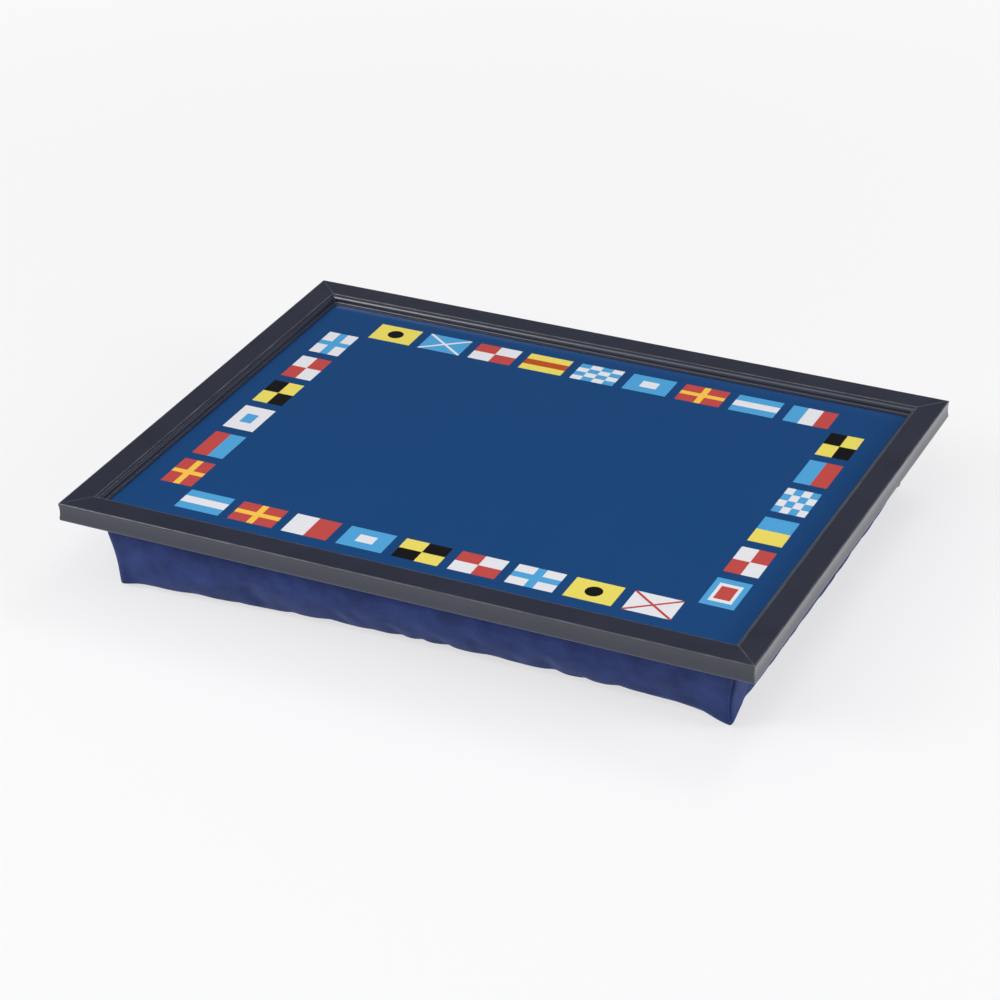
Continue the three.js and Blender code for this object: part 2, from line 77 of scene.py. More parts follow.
# Tolerances of the modelling steps
TOUCH = 0.1 * MM
MERGE_DISTANCE = 0.001 * MM
CUT_THRESHOLD = 1e-7
LEAST_LENGTH = 1e-9
FACING_UP = 0.9
SMOOTH_ANGLE = math.radians(25)

# Places taken from the parts of model.glb, in metres
CAD_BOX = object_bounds()
TRAY_HALF_LENGTH = CAD_BOX[1].x
TRAY_HALF_WIDTH = CAD_BOX[1].y
TRAY_TOP = CAD_BOX[1].z
RAIL_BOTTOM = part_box("rail_front")[0].z
RAIL_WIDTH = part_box("rail_front")[1].y + TRAY_HALF_WIDTH
SHEET_HALF_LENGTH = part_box("printed_laminate")[1].x
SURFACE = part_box("printed_laminate")[1].z
HEM_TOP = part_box("tray_board")[0].z
FILLING_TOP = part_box("bead_filling")[1].z
COVER_HALF_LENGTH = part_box("cover_right")[1].x
COVER_HALF_WIDTH = COVER_HALF_LENGTH - TRAY_HALF_LENGTH + TRAY_HALF_WIDTH


# Settings that a user may change


def length(name, description, size):
    """A length, given in millimetres and kept in metres."""
    return FloatProperty(name=name, description=description, default=size * MM, unit="LENGTH")


def place(name, description, *spot):
    """A place, given in millimetres and kept in metres."""
    metres = [part * MM for part in spot]
    return FloatVectorProperty(
        name=name, description=description, default=metres, size=len(spot), unit="LENGTH"
    )


def angle(name, description, degrees):
    """An angle, given in degrees."""
    return FloatProperty(
        name=name, description=description, default=math.radians(degrees), subtype="ANGLE"
    )


def share(name, description, part):
    """A share of a whole."""
    return FloatProperty(
        name=name, description=description, default=part, subtype="FACTOR", min=0, max=1
    )


def number(name, description, value):
    """A plain number."""
    return FloatProperty(name=name, description=description, default=value)


def count(name, description, value):
    """A whole number."""
    return IntProperty(name=name, description=description, default=value)


def seen_to_linear(value):
    """A colour's part as light, from the way it is seen on a screen."""
    if value <= 0.04045:
        return value / 12.92
    return ((value + 0.055) / 1.055) ** 2.4


def colour(name, description, *seen):
    """A colour, its red, green and blue given as they are seen, from 0 to 255."""
    linear = [seen_to_linear(part / 255) for part in seen]
    return FloatVectorProperty(
        name=name, description=description, default=linear, subtype="COLOR", min=0, max=1
    )


class RailSizes(PropertyGroup):
    """Sizes of the frame's moulding"""

    arris: length("Arris", "Radius of the broken edges of the flat top", 0.5)
    face_hollow: length("Face hollow", "Depth of the hollow in the outer face", 0.4)
    face_lip: length("Face lip", "Plain strip above the hollow", 1.0)
    foot_strip: length("Foot strip", "Plain strip below the hollow", 0.8)
    foot_round: length("Foot round", "Radius of the lower outer edge", 1.2)
    moulding: length("Moulding", "Width of the shaped inner edge", 4.0)
    quirk_drop: length("Quirk drop", "Step down at the edge of the flat top", 0.8)
    quirk_width: length("Quirk width", "Width of that step", 0.3)
    cove: length("Cove", "Radius of the cove below the bead", 1.1)
    sight_ledge: length("Sight ledge", "Width of the last ledge over the print", 0.6)
    sight_lip: length("Sight lip", "Height of the last ledge over the print", 0.9)
    sight_round: length("Sight round", "Radius of the ledge's edge", 0.2)
    board_play: length("Board play", "Room between the boards and the rebate's wall", 0.5)
    # The arrises and the strips of the flat top beside them are painted paler, as a painted highlight
    # with some worn paint
    edge_highlight_strip: length("Edge wear", "Strip of the flat top along an arris where the paint is thin", 0.4)
    edge_wear_and_highlight: share("Edge rub", "How far the paint has worn there", 0.45)
    mitre_line: length("Mitre line", "Open line between two mitred rails", 0.12)
    # The strip along a mitre is painted paler: partly worn paint, partly painted highlight
    mitre_strip: length("Mitre wear", "Strip along a mitre where the paint is thin", 0.35)
    mitre_wear_and_highlight: share("Mitre rub", "How far the paint has worn there", 0.6)


class PrintSizes(PropertyGroup):
    """Sizes and places of the printed flags"""

    flag_length: length("Flag length", "Long side of a flag", 29.7)
    flag_height: length("Flag height", "Short side of a flag", 21.3)
    row_pitch: length("Row pitch", "Step from flag to flag along a row", 36.05)
    column_pitch: length("Column pitch", "Step from flag to flag along a column", 37.2)
    front_row: place("Front row", "Middle of the front row", -2.2, -120.5)
    back_row: place("Back row", "Middle of the back row", 1.0, 121.5)
    left_column: place("Left column", "Middle of the left column", -174.2, 0.6)
    right_column: place("Right column", "Middle of the right column", 174.5, -0.1)
    wide_arm: length("Wide arm", "Width of a wide cross", 5.6)
    narrow_arm: length("Narrow arm", "Width of a narrow cross", 4.2)
    diagonal_arm: length("Diagonal arm", "Width of a diagonal cross", 1.7)
    dot: length("Dot", "Diameter of a dot", 10.6)
    dot_cuts: count("Dot cuts", "Cuts in each side of the square that is rounded to a dot", 9)
    centre_share: share("Centre", "Size of a plain centre, as a share of its flag", 0.38)
    ring_share: share("Ring", "Size of the ring in a flag with a border, as a share of the flag", 0.67)
    heart_share: share("Heart", "Size of what that ring encloses, as a share of the flag", 0.47)


class CushionSizes(PropertyGroup):
    """Sizes of the cushion and of its cloth"""

    taper_length: length("Taper along", "Bottom corner inside the top one, along the tray", 13)
    taper_width: length("Taper across", "Bottom corner inside the top one, across the tray", 7)
    skew: angle("Skew", "Turn of the long bottom seams under the tray", 1.2)
    shift: length("Shift", "How far the base has slid to the right", 2)
    bulge: length("Bulge", "Swelling of a side before it is filled", 3.5)
    draw_in: length("Draw-in", "How far a long bottom seam pulls in between its corners", 9)
    end_swell: length("End swell", "How far a short bottom seam swells out between its corners", 2)
    lift_corner: length("Corner lift", "Bottom seam over the floor at the corners", 0.4)
    lift_middle: length("Middle lift", "Bottom seam over the floor between the corners", 3.4)
    lean: share("Lean", "How much less a long bottom seam lifts towards the left", 0.9)
    base_roll: length("Base roll", "Strip of the base that rises to its seam", 22)
    flat_limit: length("Flat limit", "Height over the floor below which the base lies flat", 0.05)
    left_tuck: length("Left tuck", "How far the left side hangs in under the board", 6)
    tuck_start: share("Tuck start", "Part of the side's height over which that begins", 0.125)
    arch_length: length("Arch length", "Length of an arch between two gathers of a bottom seam", 26)
    arch_height: length("Arch height", "Height of such an arch", 2.6)
    arch_reach: length("Arch reach", "How far the gathers show up the side", 16)
    cell: length("Cell", "Size of the cloth's mesh cells", 3.4)
    rows: count("Rows", "Mesh rows down a side", 14)
    slack: share("Slack", "Cloth to spare in the panels", 0.004)
    gather: share("Gather", "How far the thread gathers the bottom seam", 0.01)
    gather_start: share("Gather start", "Part of a side near its corners with fewer gathers", 0.12)
    stiffness: number("Stiffness", "Stiffness of the cloth in bending", 5)
    point_mass: number("Point mass", "Mass of a point of the cloth", 0.3)
    pressure: number("Pressure", "Pressure of the filling", 3)
    frames: count("Frames", "Frames of the simulation", 20)
    quality: count("Quality", "Steps of the simulation in a frame", 6)
    most_move: length("Most move", "How far the filling may move the cloth", 9)
    seam_share: share("Seam share", "Width of a seam's fold, as a share of a mesh cell", 0.15)
    seam_depth: length("Seam depth", "How far a seam is drawn in", 4)
    ear_round: length("Ear round", "Length of the tip of a bottom corner, where its seams are loose", 8)
    ear_tight: share("Ear tightness", "How tight the seams are at that tip", 0.7)
    ear_length: length("Ear length", "Length of the turned-out front right bottom corner", 28)
    ear_out: length("Ear out", "How far that corner is turned out", 4.4)
    ear_arch: length("Ear arch", "Height of the arch beside that corner", 2.6)
    cloth_thickness: length("Cloth", "Thickness of the turned-in cloth", 0.6)
    hem_width: length("Hem", "Cloth turned in over the cushion board", 16)
    hem_gap: length("Hem gap", "Room between the hem and what it touches", 0.1)


class Finishes(PropertyGroup):
    """Colours of the finishes"""

    paint: colour("Paint", "Charcoal paint of the frame", 29, 33, 51)
    # Paler paint for the arrises and mitres: partly worn paint, partly painted highlight
    worn_and_highlit_paint: colour("Worn paint", "Paint on rubbed edges", 112, 114, 120)
    ground: colour("Ground", "Blue ground of the print", 18, 66, 118)
    red: colour("Red", "Red ink", 189, 73, 69)
    yellow: colour("Yellow", "Yellow ink", 231, 215, 98)
    amber: colour("Amber", "Dark yellow ink", 245, 194, 76)
    rust: colour("Rust", "Brown red ink", 186, 78, 36)
    sky: colour("Sky", "Light blue ink", 78, 160, 213)
    white: colour("White", "Bare white paper", 226, 226, 231)
    black: colour("Black", "Black ink", 14, 14, 15)
    cloth: colour("Cloth", "Navy cloth of the cushion", 42, 56, 105)
    board: colour("Board", "Brown fibreboard", 134, 100, 66)
    steel: colour("Steel", "Bright steel of the fasteners", 178, 180, 184)
    floor: colour("Floor", "Pale studio floor", 238, 238, 240)
    backdrop: colour("Backdrop", "White that the floor fades to", 250, 250, 251)


class StageSettings(PropertyGroup):
    """Camera and light"""

    azimuth: angle("Azimuth", "Camera's turn round the tray", 26.104)
    elevation: angle("Elevation", "Camera's angle over the horizon", 29.77)
    roll: angle("Roll", "Camera's tilt to one side", -1.321)
    distance: length("Distance", "Camera to what it looks at", 1785.2)
    target: place("Target", "Point that the camera looks at", 17.74, -57.56, 60)
    lens: number("Lens", "Focal length in millimetres", 109.39)
    sensor: number("Sensor", "Width of the camera's sensor in millimetres", 36)
    sky_level: number("Room light", "Strength of the room's light", 1)
    floor_side: length("Floor side", "Length of the floor's sides", 80000)
    shadow_lift: share("Shadow lift", "How far shadows on the floor are lifted by the tray", 0.68)
    near: length("Near", "Distance from which the floor fades to the backdrop", 250)
    far: length("Far", "Distance from which the floor is the backdrop", 1100)


class LapTraySettings(PropertyGroup):
    """All that a user may change on the lap tray"""

    rails: PointerProperty(name="Rails", description="The frame's moulding", type=RailSizes)
    prints: PointerProperty(name="Print", description="The printed flags", type=PrintSizes)
    cushion: PointerProperty(name="Cushion", description="The cushion's form", type=CushionSizes)
    finishes: PointerProperty(name="Finishes", description="The colours", type=Finishes)
    stage: PointerProperty(name="Stage", description="The camera and the light", type=StageSettings)


# Modelling helpers


def pick(piece):
    """Makes one piece the only selected and the active one."""
    bpy.ops.object.select_all(action="DESELECT")
    piece.select_set(True)
    bpy.context.view_layer.objects.active = piece


@contextmanager
def editing(piece, mode="FACE"):
    """Edit mode on one piece, with nothing selected at first."""
    pick(piece)
    bpy.ops.object.mode_set(mode="EDIT")
    bpy.ops.mesh.select_mode(type=mode)
    bpy.ops.mesh.select_all(action="DESELECT")
    yield
    bpy.ops.object.mode_set(mode="OBJECT")


def select_faces(piece, wanted):
    """In edit mode, selects the faces that pass a test of their middle and normal."""
    mesh = bmesh.from_edit_mesh(piece.data)
    for face in mesh.faces:
        face.select_set(wanted(face.calc_center_median(), face.normal))
    bmesh.update_edit_mesh(piece.data)


def select_whole():
    """In edit mode, selects the whole piece."""
    bpy.ops.mesh.select_all(action="SELECT")


def extrude(step):
    """In edit mode, extrudes what is selected by a step."""
    bpy.ops.mesh.extrude_region_move(TRANSFORM_OT_translate={"value": step})


def face_outwards():
    """In edit mode, turns all faces outwards."""
    select_whole()
    bpy.ops.mesh.normals_make_consistent(inside=False)


def new_piece(name, add, **options):
    """Adds a plain mesh as a piece of its own."""
    bpy.ops.object.select_all(action="DESELECT")
    add(**options)
    piece = bpy.context.object
    piece.name = name
    return piece


def drawn_face(name, points):
    """Draws an outline by extruding a point from place to place, and fills it."""
    piece = new_piece(name, bpy.ops.mesh.primitive_plane_add, size=MM, location=points[0])
    bpy.ops.object.transform_apply()
    with editing(piece, "VERT"):
        select_whole()
        bpy.ops.mesh.merge(type="CENTER")
        for here, there in zip(points, points[1:]):
            extrude([b - a for a, b in zip(here, there)])
        select_whole()
        bpy.ops.mesh.edge_face_add()
    return piece


def arc(middle, radii, start, end, steps):
    """Points of an arc in a section, with its angles in degrees."""
    angles = [math.radians(start + (end - start) * i / steps) for i in range(steps + 1)]
    return [(middle[0] + radii[0] * math.cos(a), middle[1] + radii[1] * math.sin(a)) for a in angles]


def cut_along(spot, facing, is_end=False):
    """In edit mode, cuts what is selected along a plane; at an end, what lies beyond it goes."""
    bpy.ops.mesh.bisect(
        plane_co=spot, plane_no=facing, clear_outer=is_end, use_fill=is_end, threshold=CUT_THRESHOLD
    )


def finish_piece(piece, material, slot, *nodes):
    """Gives a new piece its material and its body, and hides the nodes that it stands for; the slot is
    not used.
    """
    piece.data.materials.clear()
    piece.data.materials.append(material)
    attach(piece, BODY)
    if nodes:
        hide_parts(*nodes)


# Material helpers


def new_material(name):
    """A material with its node tree and its main shader."""
    material = bpy.data.materials.new(name)
    material.use_nodes = True
    return material, material.node_tree, material.node_tree.nodes["Principled BSDF"]


def give(tree, node, sockets):
    """Gives a node's sockets values, or joins them to other nodes."""
    for name, value in sockets.items():
        if isinstance(value, bpy.types.NodeSocket):
            tree.links.new(value, node.inputs[name])
        else:
            node.inputs[name].default_value = value


def add_node(tree, kind, sockets=None, **options):
    """Adds a node, sets its options and gives its sockets what they need."""
    node = tree.nodes.new(kind)
    for name, value in options.items():
        setattr(node, name, value)
    give(tree, node, sockets or {})
    return node


def object_place(tree, scale=(1, 1, 1)):
    """Places on the piece in metres, stretched by a scale."""
    here = add_node(tree, "ShaderNodeTexCoord").outputs["Object"]
    return add_node(tree, "ShaderNodeMapping", {"Vector": here, "Scale": scale}).outputs["Vector"]


def attribute(tree, name, output):
    return add_node(tree, "ShaderNodeAttribute", attribute_name=name).outputs[output]


def noise(tree, here, size, detail=2, roughness=0.5):
    """Noise with bumps of about that size in metres."""
    sockets = {"Vector": here, "Scale": 1 / size, "Detail": detail, "Roughness": roughness}
    return add_node(tree, "ShaderNodeTexNoise", sockets).outputs["Fac"]


def ranged(tree, value, ends, new_ends):
    """Maps one range of numbers to another, each given by its two ends."""
    names = ("Value", "From Min", "From Max", "To Min", "To Max")
    sockets = dict(zip(names, (value, *ends, *new_ends)))
    return add_node(tree, "ShaderNodeMapRange", sockets).outputs["Result"]


def calculated(tree, operation, first, second):
    return add_node(tree, "ShaderNodeMath", {0: first, 1: second}, operation=operation).outputs[0]


def mixed(tree, part, first, second, blend="MIX"):
    """Mixes two colours by the second one's part."""
    sockets = {0: part, 6: first, 7: second}
    return add_node(tree, "ShaderNodeMix", sockets, data_type="RGBA", blend_type=blend).outputs[2]


def shaded(tree, base, value, low, high):
    """A colour made darker or lighter where a number between 0 and 1 is low or high."""
    level = ranged(tree, value, (0, 1), (low, high))
    grey = add_node(tree, "ShaderNodeCombineColor", {0: level, 1: level, 2: level}).outputs[0]
    return mixed(tree, 1, base, grey, "MULTIPLY")


def raised(tree, height, distance, strength):
    """The surface's normal, bumped by a height from 0 to 1 that stands for a distance."""
    sockets = {"Height": height, "Distance": distance, "Strength": strength}
    return add_node(tree, "ShaderNodeBump", sockets).outputs["Normal"]


def opaque(rgb):
    return (rgb[0], rgb[1], rgb[2], 1)


# Finishes


def satin_paint(finishes):
    """Sprayed charcoal paint, a little uneven, painted paler along the arrises and mitres: partly worn
    paint, partly painted highlight.
    """
    material, tree, shader = new_material("satin_paint")
    here = object_place(tree)
    cloudy = noise(tree, here, 30 * MM, detail=3)
    speckle = noise(tree, here, 0.5 * MM)
    coat = shaded(tree, opaque(finishes.paint), cloudy, low=0.86, high=1.14)
    patchy = ranged(tree, noise(tree, here, 9 * MM, detail=4), (0.35, 0.75), (0.25, 1))
    # Marked faces on the rails take the paler paint: partly worn paint, partly painted highlight
    wear_and_highlight = calculated(tree, "MULTIPLY", attribute(tree, "rubbed", "Fac"), patchy)
    sockets = {
        "Base Color": mixed(tree, wear_and_highlight, coat, opaque(finishes.worn_and_highlit_paint)),
        "Roughness": ranged(tree, cloudy, (0.3, 0.7), (0.28, 0.36)),
        "Coat Weight": 0.5,
        "Coat Roughness": 0.2,
        "Normal": raised(tree, speckle, 0.04 * MM, strength=0.35),
    }
    give(tree, shader, sockets)
    return material


def glossy_ink():
    """Ink under a clear glossy film, with faint smears in the gloss."""
    material, tree, shader = new_material("glossy_ink")
    here = object_place(tree)
    grain = noise(tree, here, 0.25 * MM)
    smear = noise(tree, here, 45 * MM, detail=4, roughness=0.6)
    waves = noise(tree, here, 12 * MM, detail=1)
    sockets = {
        "Base Color": shaded(tree, attribute(tree, "ink", "Color"), grain, low=0.95, high=1.05),
        "Roughness": ranged(tree, smear, (0.35, 0.7), (0.10, 0.17)),
        "Normal": raised(tree, waves, 0.02 * MM, strength=0.2),
    }
    give(tree, shader, sockets)
    return material


def navy_cloth(finishes):
    """Brushed navy cotton with a short nap, lighter where the nap is pressed."""
    material, tree, shader = new_material("navy_cloth")
    pressed = noise(tree, object_place(tree), 16 * MM, detail=4, roughness=0.6)
    patches = ranged(tree, pressed, (0.3, 0.7), (0, 1))
    nap = noise(tree, object_place(tree, (1, 1, 0.45)), 0.7 * MM, detail=3, roughness=0.65)
    dyed = shaded(tree, opaque(finishes.cloth), patches, low=0.72, high=1.28)
    sockets = {
        "Base Color": shaded(tree, dyed, nap, low=0.8, high=1.2),
        "Roughness": 0.92,
        "Specular IOR Level": 0.2,
        "Sheen Weight": 0.2,
        "Sheen Roughness": 0.45,
        "Sheen Tint": (0.45, 0.55, 1, 1),
        "Normal": raised(tree, nap, 0.25 * MM, strength=0.5),
    }
    give(tree, shader, sockets)
    return material


def brown_board(finishes):
    """Pressed fibreboard with short pale and dark fibres."""
    material, tree, shader = new_material("brown_board")
    fibres = noise(tree, object_place(tree, (1, 6, 1)), 3 * MM, detail=5, roughness=0.7)
    flecks = noise(tree, object_place(tree), 1.2 * MM, detail=3)
    pressed = shaded(tree, opaque(finishes.board), fibres, low=0.7, high=1.3)
    sockets = {
        "Base Color": shaded(tree, pressed, flecks, low=0.9, high=1.1),
        "Roughness": 0.85,
        "Normal": raised(tree, fibres, 0.1 * MM, strength=0.5),
    }
    give(tree, shader, sockets)
    return material


def bright_steel(finishes):
    """Drawn steel wire and strip, lightly scratched."""
    material, tree, shader = new_material("bright_steel")
    scratches = noise(tree, object_place(tree, (1, 1, 0.1)), 0.3 * MM, detail=3)
    sockets = {
        "Base Color": shaded(tree, opaque(finishes.steel), scratches, low=0.85, high=1.1),
        "Metallic": 1,
        "Roughness": ranged(tree, scratches, (0.3, 0.7), (0.25, 0.42)),
    }
    give(tree, shader, sockets)
    return material


# Frame rails


def rail_outline(sizes):
    """Section of the moulding: distance inwards from the outer face, and level over the floor."""
    foot = TRAY_HALF_LENGTH - SHEET_HALF_LENGTH - sizes.board_play
    flat_end = RAIL_WIDTH - sizes.moulding
    cove_end = RAIL_WIDTH - sizes.sight_ledge
    ledge = SURFACE + sizes.sight_lip
    bead_foot = ledge + sizes.cove
    bead_top = TRAY_TOP - sizes.quirk_drop
    bead_start = flat_end + sizes.quirk_width
    bead = (cove_end - sizes.cove - bead_start, bead_top - bead_foot)
    edge = sizes.arris + sizes.edge_highlight_strip
    arris = (sizes.arris, sizes.arris)
    sight = (sizes.sight_round, sizes.sight_round)
    toe = (sizes.foot_round, sizes.foot_round)
    points = [(foot, RAIL_BOTTOM), (foot, SURFACE), (RAIL_WIDTH, SURFACE)]
    points += arc((RAIL_WIDTH - sight[0], ledge - sight[1]), sight, 0, 90, steps=4)
    points += arc((cove_end, bead_foot), (sizes.cove, sizes.cove), 270, 180, steps=10)
    points += arc((bead_start, bead_foot), bead, 0, 90, steps=14)[1:]
    points += [(flat_end, bead_top)]
    points += arc((flat_end - arris[0], TRAY_TOP - arris[1]), arris, 0, 90, steps=4)
    # Strips of the flat top beside the arrises, painted paler later as a painted highlight
    points += [(flat_end - edge, TRAY_TOP), (edge, TRAY_TOP)]
    points += arc((arris[0], TRAY_TOP - arris[1]), arris, 90, 180, steps=4)
    points += face_hollow(sizes, steps=16)
    points += arc((toe[0], RAIL_BOTTOM + toe[1]), toe, 180, 270, steps=8)
    return points


def face_hollow(sizes, steps):
    """Points down the hollow of the outer face."""
    top = TRAY_TOP - sizes.face_lip
    bottom = RAIL_BOTTOM + sizes.foot_round + sizes.foot_strip
    shares = [step / steps for step in range(steps + 1)]
    return [(sizes.face_hollow * 4 * s * (1 - s), top + (bottom - top) * s) for s in shares]


def mitred_rail(name, half_span, reach, sizes):
    """One rail along X, its outer face a reach in front of the middle, cut to the mitres."""
    outline = [(-half_span, inwards - reach, level) for inwards, level in rail_outline(sizes)]
    rail = drawn_face(name, outline)
    with editing(rail):
        select_whole()
        extrude((2 * half_span, 0, 0))
        for end in (-1, 1):
            facing = Vector((end, 1, 0)).normalized()
            cut = Vector((end * half_span, -reach, 0)) - facing * sizes.mitre_line / 2
            select_whole()
            cut_along(cut, facing, is_end=True)
            select_whole()
            # A strip along each mitre, painted paler later: partly worn paint, partly painted highlight
            cut_along(cut - facing * sizes.mitre_strip, facing)
        face_outwards()
    bpy.ops.object.shade_smooth_by_angle(angle=SMOOTH_ANGLE)
    # Faces along the mitres and arrises are marked to be painted paler: partly worn paint, partly
    # painted highlight
    rubbed = rail.data.attributes.new("rubbed", "FLOAT", "FACE")
    wear_and_highlight = [wear_and_highlight_at(face, half_span, reach, sizes) for face in rail.data.polygons]
    rubbed.data.foreach_set("value", wear_and_highlight)
    return rail


def wear_and_highlight_at(face, half_span, reach, sizes):
    """How much paler a face is painted: most along the mitres, some on the arrises; partly worn paint,
    partly painted highlight.
    """
    to_mitre = (half_span - abs(face.center.x) - reach - face.center.y) / math.sqrt(2)
    # Along the mitres the paint is paler: partly worn paint, partly painted highlight
    if to_mitre < sizes.mitre_line / 2 + sizes.mitre_strip:
        return sizes.mitre_wear_and_highlight
    # The arrises and the strips beside them are painted paler as a painted highlight
    if face.center.z < TRAY_TOP - sizes.arris:
        return 0
    inwards = face.center.y + reach
    edge = sizes.arris + sizes.edge_highlight_strip
    is_inner = inwards > RAIL_WIDTH - sizes.moulding - edge
    return sizes.edge_wear_and_highlight if is_inner or inwards < edge else 0


class LAPTRAY_OT_make_rails(Operator):
    """Draws the moulding, mitres the four rails and paints them"""

    bl_idname = "laptray.make_rails"
    bl_label = "Make Rails"

    def execute(self, context):
        settings = context.scene.lap_tray
        paint = satin_paint(settings.finishes)
        spans = [(TRAY_HALF_LENGTH, TRAY_HALF_WIDTH), (TRAY_HALF_WIDTH, TRAY_HALF_LENGTH)]
        turns = (0, math.pi / 2, math.pi, -math.pi / 2)
        for side, (half_span, reach), turn in zip(SIDES, spans * 2, turns):
            rail = mitred_rail(f"frame_{side}", half_span, reach, settings.rails)
            rail.data.transform(Matrix.Rotation(turn, 4, "Z"))
            finish_piece(rail, paint, "painted_wood", f"rail_{side}")
        return {"FINISHED"}


# Designs of the printed flags

# Each gives the lines that cut a flag and a function that tells which of its inks is at a place


def straight_cuts(across, up):
    """Cutting lines, each as a point from the flag's middle and the way the line faces."""
    return [((x, 0), (1, 0)) for x in across] + [((0, y), (0, 1)) for y in up]


def left_right(size, sizes):
    return straight_cuts((0,), ()), lambda x, y: int(x > 0)


def upper_lower(size, sizes):
    return straight_cuts((), (0,)), lambda x, y: int(y < 0)


def bands(size, sizes):
    edge = size.y / 6
    return straight_cuts((), (-edge, edge)), lambda x, y: int(abs(y) < edge)


def pales(size, sizes):
    edge = size.x / 6
    return straight_cuts((-edge, edge), ()), lambda x, y: int(x > -edge) + int(x > edge)


def quarters(size, sizes):
    return straight_cuts((0,), (0,)), lambda x, y: int((x < 0) != (y > 0))


def chequer(size, sizes):
    cell = size / 4
    cuts = straight_cuts((-cell.x, 0, cell.x), (-cell.y, 0, cell.y))
    return cuts, lambda x, y: (math.floor(x / cell.x) + math.floor(y / cell.y) + 1) % 2


def cross(arm):
    edges = (-arm / 2, arm / 2)
    return straight_cuts(edges, edges), lambda x, y: int(min(abs(x), abs(y)) < arm / 2)


def wide_cross(size, sizes):
    return cross(sizes.wide_arm)


def narrow_cross(size, sizes):
    return cross(sizes.narrow_arm)


def saltire(size, sizes):
    half = sizes.diagonal_arm / 2
    ways = [Vector((-size.y, size.x)).normalized(), Vector((size.y, size.x)).normalized()]
    cuts = [(way * half * side, way) for way in ways for side in (-1, 1)]
    return cuts, lambda x, y: int(min(abs(way.dot((x, y))) for way in ways) < half)


def dot(size, sizes):
    """A dot, cut on its own, whose face is the only one with its middle near the flag's."""
    return [], lambda x, y: int(math.hypot(x, y) < sizes.dot / 4)


def nested(size, shares):
    halves = [size * part / 2 for part in shares]
    cuts = [cut for half in halves for cut in straight_cuts((-half.x, half.x), (-half.y, half.y))]
    return cuts, lambda x, y: sum(abs(x) < half.x and abs(y) < half.y for half in halves)


def centre(size, sizes):
    return nested(size, (sizes.centre_share,))


def border(size, sizes):
    return nested(size, (sizes.ring_share, sizes.heart_share))


# The flags of the border, rows from left to right and columns from back to front
FRONT_FLAGS = (
    (bands, "sky", "white"),
    (narrow_cross, "red", "amber"),
    (left_right, "white", "red"),
    (centre, "sky", "white"),
    (quarters, "yellow", "black"),
    (quarters, "red", "white"),
    (wide_cross, "white", "sky"),
    (dot, "yellow", "black"),
    (saltire, "white", "red"),
)
BACK_FLAGS = (
    (dot, "yellow", "black"),
    (saltire, "sky", "white"),
    (quarters, "red", "white"),
    (bands, "yellow", "rust"),
    (chequer, "sky", "white"),
    (centre, "sky", "white"),
    (narrow_cross, "red", "amber"),
    (bands, "sky", "white"),
    (pales, "sky", "white", "red"),
)
LEFT_FLAGS = (
    (wide_cross, "white", "sky"),
    (quarters, "white", "red"),
    (quarters, "black", "yellow"),
    (centre, "white", "sky"),
    (left_right, "red", "sky"),
    (narrow_cross, "red", "amber"),
)
RIGHT_FLAGS = (
    (quarters, "black", "yellow"),
    (left_right, "sky", "red"),
    (chequer, "white", "sky"),
    (upper_lower, "sky", "yellow"),
    (quarters, "white", "red"),
    (border, "sky", "white", "red"),
)


# Printed sheet


def flag_strips(sizes):
    """The rows and columns of the border: flags, middle, step from flag to flag and a flag's size."""
    wide = Vector((sizes.flag_length, sizes.flag_height))
    tall = Vector((sizes.flag_height, sizes.flag_length))
    along = Vector((sizes.row_pitch, 0))
    down = Vector((0, -sizes.column_pitch))
    return [
        (FRONT_FLAGS, Vector(sizes.front_row), along, wide),
        (BACK_FLAGS, Vector(sizes.back_row), along, wide),
        (LEFT_FLAGS, Vector(sizes.left_column), down, tall),
        (RIGHT_FLAGS, Vector(sizes.right_column), down, tall),
    ]


def flag_middles(flags, middle, step):
    return [middle + step * (i - (len(flags) - 1) / 2) for i in range(len(flags))]


def is_inside(spot, middle, size):
    return abs(spot.x - middle.x) < size.x / 2 and abs(spot.y - middle.y) < size.y / 2


def is_print(spot, normal):
    """Whether a face is part of the print that shows between the rails."""
    if normal.z < FACING_UP or spot.z < SURFACE - TOUCH:
        return False
    opening = Vector((TRAY_HALF_LENGTH - RAIL_WIDTH, TRAY_HALF_WIDTH - RAIL_WIDTH)) * 2
    return is_inside(spot, Vector((0, 0)), opening)


def select_print(sheet, middle, size):
    """In edit mode, selects the print's faces within a rectangle."""
    select_faces(sheet, lambda spot, normal: is_print(spot, normal) and is_inside(spot, middle, size))


def cut_print(sheet, middle, size, cuts):
    """In edit mode, cuts the print's faces within a rectangle along straight lines."""
    for point, facing in cuts:
        select_print(sheet, middle, size)
        cut_along((middle.x + point[0], middle.y + point[1], SURFACE), (facing[0], facing[1], 0))


def cut_dot(sheet, middle, size, sizes):
    """In edit mode, insets a flag, splits the edges of the inset and rounds them to a dot."""
    select_print(sheet, middle, size)
    bpy.ops.mesh.inset(thickness=(size.y - sizes.dot) / 2)
    bpy.ops.mesh.delete(type="ONLY_FACE")
    bpy.ops.mesh.select_mode(type="EDGE")
    bpy.ops.mesh.select_non_manifold()
    bpy.ops.mesh.subdivide(number_cuts=sizes.dot_cuts)
    mesh = bmesh.from_edit_mesh(sheet.data)
    centre_point = Vector((middle.x, middle.y, SURFACE))
    for vertex in mesh.verts:
        if vertex.select:
            vertex.co = centre_point + (vertex.co - centre_point).normalized() * sizes.dot / 2
    bmesh.update_edit_mesh(sheet.data)
    bpy.ops.mesh.edge_face_add()
    bpy.ops.mesh.select_mode(type="FACE")


